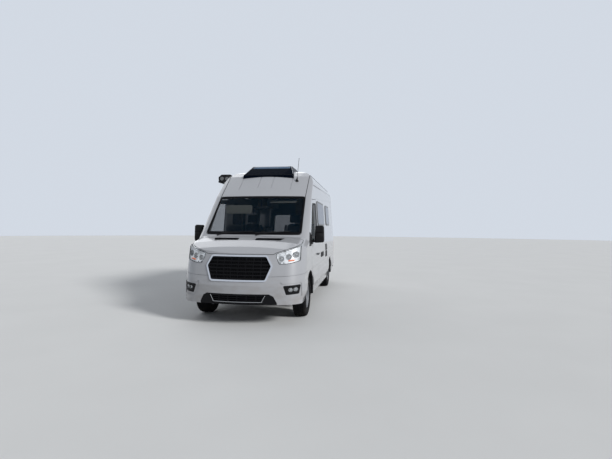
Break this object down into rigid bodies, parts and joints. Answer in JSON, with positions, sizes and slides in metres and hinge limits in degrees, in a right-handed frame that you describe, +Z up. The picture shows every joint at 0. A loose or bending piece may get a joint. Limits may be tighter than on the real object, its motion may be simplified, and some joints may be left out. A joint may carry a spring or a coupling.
{
  "type": "camper van",
  "caption": "High-roof panel van fitted out as a camper, with hinged doors and bonnet, steered front wheels, roof skylight and awning case.",
  "frame": {"origin": "on the ground, under the middle of the overall length and width", "axes": "-Y to the nose, +X to the driver's (left) side, +Z up"},
  "size_m": [2.4738, 5.981, 2.9655],
  "materials": {
    "paint": "semi-gloss",
    "underbody": "matt",
    "black_plastic": "grained",
    "gloss_black": "gloss",
    "chrome_ring": "polished",
    "glazing": "polished",
    "lens": "polished",
    "red_lens": "gloss",
    "tyre_rubber": "matt",
    "wheel_metal": "satin",
    "iron": "raw",
    "seat_cloth": "woven",
    "cabin_plastic": "grained",
    "furniture": "satin",
    "bedding": "woven",
    "grey_plastic": "satin"
  },
  "bodies": {
    "van": {"aerials": "black_plastic", "arch_liners": "black_plastic", "awning": "black_plastic", "bed": "bedding", "bench_seat": "seat_cloth", "body_side_left": "paint", "body_side_right": "paint", "cab_seats": "seat_cloth", "cabinets": "furniture", "camper_panes": "glazing", "chassis_rails": "underbody", "cowl_panel": "paint", "dashboard": "cabin_plastic", "dinette_table": "furniture", "engine_and_radiator": "iron", "entry_step": "underbody", "exhaust": "iron", "fender_left": "paint", "fender_right": "paint", "floor_pan": "underbody", "front_bumper": "paint", "front_subframe": "iron", "grille_surround": "chrome_ring", "grilles": "gloss_black", "lamp_bodies": "grey_plastic", "lamp_lenses": "lens", "rear_axle": "iron", "rear_bumper": "black_plastic", "roof_panel": "paint", "roof_vent": "grey_plastic", "skylight": "glazing", "sliding_door": "paint", "tail_lamps": "red_lens", "tanks": "black_plastic", "window_frames": "grey_plastic", "windscreen": "glazing", "wipers": "black_plastic"},
    "bonnet": {"bonnet": "paint"},
    "cab_door_left": {"cab_door_left": "paint", "door_glass_left": "glazing", "mirror_left": "black_plastic"},
    "cab_door_right": {"cab_door_right": "paint", "door_glass_right": "glazing", "mirror_right": "black_plastic"},
    "rear_door_left": {"rear_door_left": "paint", "rear_glass_left": "glazing"},
    "rear_door_right": {"rear_door_right": "paint", "rear_glass_right": "glazing"},
    "knuckle_left": {"knuckle_left": "iron"},
    "knuckle_right": {"knuckle_right": "iron"},
    "wheel_front_left": {"tyre_front_left": "tyre_rubber", "rim_front_left": "wheel_metal"},
    "wheel_front_right": {"tyre_front_right": "tyre_rubber", "rim_front_right": "wheel_metal"},
    "wheel_rear_left": {"tyre_rear_left": "tyre_rubber", "rim_rear_left": "wheel_metal"},
    "wheel_rear_right": {"tyre_rear_right": "tyre_rubber", "rim_rear_right": "wheel_metal"},
    "steering_wheel": {"steering_wheel": "cabin_plastic"}
  },
  "joints": [
    {"name": "steer_left", "type": "hinge", "parent": "van", "child": "knuckle_left", "pos_m": [0.745, -1.9675, 0.356], "axis": [0, 0, 1], "range_deg": [-30, 30]},
    {"name": "steer_right", "type": "hinge", "parent": "van", "child": "knuckle_right", "pos_m": [-0.745, -1.9675, 0.356], "axis": [0, 0, 1], "range_deg": [-30, 30]},
    {"name": "steering_wheel_turn", "type": "hinge", "parent": "van", "child": "steering_wheel", "pos_m": [0.47, -1.3505, 1.29], "axis": [0, 0.8192, 0.5736], "range_deg": [-485, 485]},
    {"name": "wheel_front_left_spin", "type": "hinge", "parent": "knuckle_left", "child": "wheel_front_left", "pos_m": [0.866, -1.9675, 0.356], "axis": [1, 0, 0], "continuous": true},
    {"name": "wheel_rear_left_spin", "type": "hinge", "parent": "van", "child": "wheel_rear_left", "pos_m": [0.866, 1.7825, 0.356], "axis": [1, 0, 0], "continuous": true},
    {"name": "cab_door_left_hinge", "type": "hinge", "parent": "van", "child": "cab_door_left", "pos_m": [1.023, -1.8345, 1], "axis": [0, 0, -1], "range_deg": [0, 70]},
    {"name": "rear_door_left_hinge", "type": "hinge", "parent": "van", "child": "rear_door_left", "pos_m": [0.985, 2.9185, 1], "axis": [0, 0, -1], "range_deg": [0, 180]},
    {"name": "wheel_front_right_spin", "type": "hinge", "parent": "knuckle_right", "child": "wheel_front_right", "pos_m": [-0.866, -1.9675, 0.356], "axis": [1, 0, 0], "continuous": true},
    {"name": "wheel_rear_right_spin", "type": "hinge", "parent": "van", "child": "wheel_rear_right", "pos_m": [-0.866, 1.7825, 0.356], "axis": [1, 0, 0], "continuous": true},
    {"name": "cab_door_right_hinge", "type": "hinge", "parent": "van", "child": "cab_door_right", "pos_m": [-1.023, -1.8345, 1], "axis": [0, 0, 1], "range_deg": [0, 70]},
    {"name": "rear_door_right_hinge", "type": "hinge", "parent": "van", "child": "rear_door_right", "pos_m": [-0.985, 2.9185, 1], "axis": [0, 0, 1], "range_deg": [0, 180]},
    {"name": "bonnet_hinge", "type": "hinge", "parent": "van", "child": "bonnet", "pos_m": [0, -2.2665, 1.39895], "axis": [-1, 0, 0], "range_deg": [0, 45]}
  ],
  "couplings": [
    {"joint": "steer_right", "follows": "steer_left", "ratio": 1},
    {"joint": "steering_wheel_turn", "follows": "steer_left", "ratio": 16}
  ]
}
